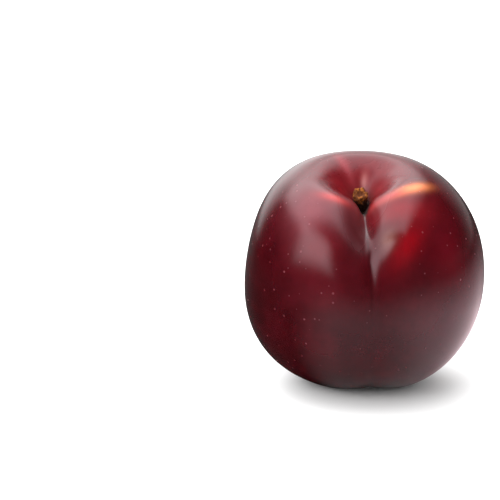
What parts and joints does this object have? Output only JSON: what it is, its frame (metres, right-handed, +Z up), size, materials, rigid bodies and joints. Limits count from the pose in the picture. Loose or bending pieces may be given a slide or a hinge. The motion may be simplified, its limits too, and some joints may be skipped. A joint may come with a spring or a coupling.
{
  "type": "plum",
  "caption": "Ripe dark round plum with a shallow suture, a funnel-shaped stem cavity and the dry stub of its stem, lying on a small flat spot beside its blossom end",
  "frame": {"origin": "On the flat resting spot, under the fruit's centre of mass", "axes": "+Z up. The suture faces -Y, and the stem end leans about 11 degrees that way. +X is to the right of someone who looks at the suture"},
  "size_m": [0.0594, 0.0595, 0.0573],
  "materials": {
    "skin": "dark maroon waxy skin with crimson patches and fine pale dots",
    "dry_stem": "dry ochre-brown bark with a dark pith"
  },
  "bodies": {
    "root": {"fruit": "skin", "stem_stub": "dry_stem"}
  },
  "joints": []
}
